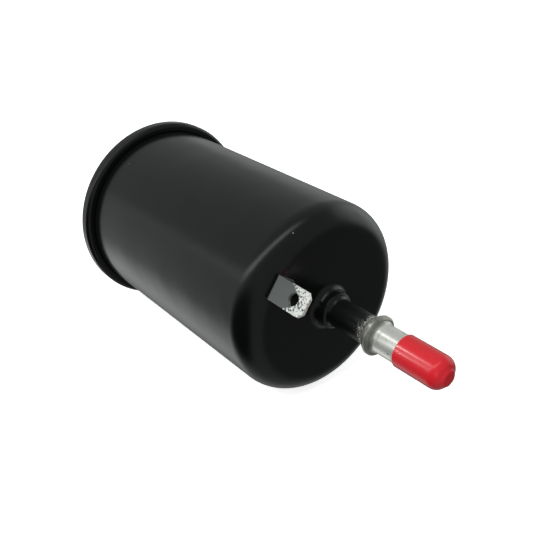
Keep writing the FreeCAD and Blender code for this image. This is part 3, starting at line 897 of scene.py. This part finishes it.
class FUELFILTER_OT_stage(bpy.types.Operator):
    """Pale floor, soft studio light and the camera"""

    bl_idname = "fuelfilter.stage"
    bl_label = "Stage"

    def execute(self, context):
        settings = context.scene.fuelfilter_stage
        self.add_floor(context, settings)
        self.light_room(context, settings)
        for name, direction, brightness in SOFTBOXES:
            softbox = self.add_light(context, name, Vector(), direction, 0.75, (0.34, 0.3), brightness)
            softbox.visible_glossy = False
        cap = Vector((NOSE_FACE + (CAP_START + CAP_TIP) / 2, 0, 0))
        for name, piece, direction, width, brightness in STRIPS:
            strip = self.add_light(context, name, cap, direction, 0.5, (0.14, width), brightness)
            strip.visible_diffuse = False
            strip.light_linking.receiver_collection = bpy.data.collections.new(name)
            for end in ("outlet", "inlet"):
                lit = bpy.data.objects[f"{end}_{piece}"]
                strip.light_linking.receiver_collection.objects.link(lit)
        self.add_camera(context, settings)
        context.scene.view_settings.view_transform = "Standard"
        return {"FINISHED"}

    def add_floor(self, context, settings):
        """A floor under the two places that the filter rests on: the seam and the wall's front."""
        crest = SEAM_FRONT - context.scene.fuelfilter_can.seam_curl
        slope = (SEAM_RADIUS - CAN_RADIUS) / (WALL_FRONT - crest)
        shape = bmesh.new()
        bmesh.ops.create_grid(shape, x_segments=1, y_segments=1, size=settings.floor_size / 2)
        for vert in shape.verts:
            vert.co.z = -SEAM_RADIUS + (vert.co.x - crest) * slope
        surface = Material("pale_floor")
        paper = surface.noise(surface.position(), 0.004, 3.0)
        base = surface.blend(paper, settings.floor, [channel * 0.99 for channel in settings.floor])
        material = surface.finish(
            base,
            roughness=0.9,
            emission_color=(1.0, 1.0, 1.0, 1.0),
            emission_strength=0.8,
        )
        floor = add_piece("pale_floor", shape, material)
        floor.visible_glossy = False
        floor.visible_diffuse = False

    def light_room(self, context, settings):
        """A dim white room with a bright band overhead and a dark corner low on one side."""
        world = bpy.data.worlds.new("studio")
        world.use_nodes = True
        context.scene.world = world
        room = Nodes(world.node_tree)
        direction = room.add("ShaderNodeTexCoord", output="Generated")
        along, across, up = room.split(direction)

        def alignment(axis):
            axes = {0: direction, 1: Vector(axis).normalized()}
            return room.add("ShaderNodeVectorMath", {"operation": "DOT_PRODUCT"}, axes, "Value")

        def towards(axis, narrow, wide):
            inner, outer = math.cos(math.radians(narrow)), math.cos(math.radians(wide))
            return room.ramp(alignment(axis), outer, inner)

        behind = room.ramp(along, 0.3, -0.75)
        corner = towards((0.05, -0.9, -0.43), 24, 52)
        overhead = alignment((-0.664, 0, 0.747))
        ceiling = room.ramp(overhead, 0.6, 0.75)
        edge = room.ramp(overhead, 0.46, 0.57) * room.ramp(overhead, 0.73, 0.62)
        band = edge * room.ramp(across, 0.35, -0.2) * room.ramp(up, 0.1, 0.6)
        walls = behind * 0.33 + 0.24 - ceiling * behind * 0.17
        for axis, narrow, wide, brightness in GLOWS:
            walls = walls + towards(axis, narrow, wide) * brightness
        level = walls * (1 - corner * 0.97) + band * 2.0
        seen = room.add("ShaderNodeLightPath", output="Is Camera Ray")
        lit = room.add("ShaderNodeBackground", sockets={"Color": (0.95, 1, 0.97, 1), "Strength": level})
        plain = room.add(
            "ShaderNodeBackground", sockets={"Color": (1, 1, 1, 1), "Strength": settings.background}
        )
        mixed = room.add("ShaderNodeMixShader", sockets={0: seen, 1: lit, 2: plain})
        end = room.tree.nodes.new("ShaderNodeOutputWorld")
        room.tree.links.new(mixed.socket, end.inputs["Surface"])

    def add_light(self, context, name, aim, direction, distance, size, brightness):
        """A rectangular light as bright as this in a mirror, with its length along the can."""
        lamp = bpy.data.lights.new(name, "AREA")
        lamp.shape = "RECTANGLE"
        lamp.size, lamp.size_y = size
        lamp.energy = brightness * math.pi * size[0] * size[1]
        light = bpy.data.objects.new(name, lamp)
        context.scene.collection.objects.link(light)
        away = Vector(direction).normalized()
        light.location = aim + away * distance
        width_axis = away.cross((1, 0, 0)).normalized()
        axes = Matrix((width_axis.cross(away), width_axis, away))
        light.rotation_mode = "QUATERNION"
        light.rotation_quaternion = axes.transposed().to_quaternion()
        light.visible_camera = False
        return light

    def add_camera(self, context, settings):
        eye = bpy.data.cameras.new("camera")
        eye.lens = settings.lens
        eye.clip_start = 0.01
        eye.clip_end = 20
        camera = bpy.data.objects.new("camera", eye)
        context.scene.collection.objects.link(camera)
        camera.location = settings.camera_at
        forward = Vector(settings.camera_aim) - Vector(settings.camera_at)
        camera.rotation_mode = "QUATERNION"
        camera.rotation_quaternion = forward.to_track_quat("-Z", "Y")
        context.scene.camera = camera


OPERATORS = (
    FUELFILTER_OT_can,
    FUELFILTER_OT_cover,
    FUELFILTER_OT_spouts,
    FUELFILTER_OT_tab,
    FUELFILTER_OT_caps,
    FUELFILTER_OT_element,
    FUELFILTER_OT_stage,
)


class VIEW3D_PT_fuelfilter(bpy.types.Panel):
    """Lists the operators that build the filter"""

    bl_label = "Fuel Filter"
    bl_space_type = "VIEW_3D"
    bl_region_type = "UI"
    bl_category = "Fuel Filter"

    def draw(self, context):
        for operator in OPERATORS:
            self.layout.operator(operator.bl_idname)


SETTINGS = {
    "fuelfilter_can": CanSizes,
    "fuelfilter_spout": SpoutSizes,
    "fuelfilter_cap": CapSizes,
    "fuelfilter_tab": TabSizes,
    "fuelfilter_finishes": Finishes,
    "fuelfilter_stage": StageSettings,
}
CLASSES = (*SETTINGS.values(), *OPERATORS, VIEW3D_PT_fuelfilter)


def register():
    for each in CLASSES:
        bpy.utils.register_class(each)
    for name, group in SETTINGS.items():
        setattr(bpy.types.Scene, name, PointerProperty(type=group))


def unregister():
    for name in SETTINGS:
        delattr(bpy.types.Scene, name)
    for each in reversed(CLASSES):
        bpy.utils.unregister_class(each)


def main():
    register()
    bpy.ops.fuelfilter.can()
    bpy.ops.fuelfilter.cover()
    bpy.ops.fuelfilter.spouts()
    bpy.ops.fuelfilter.tab()
    bpy.ops.fuelfilter.caps()
    bpy.ops.fuelfilter.element()
    bpy.ops.fuelfilter.stage()


if __name__ == "__main__":
    main()
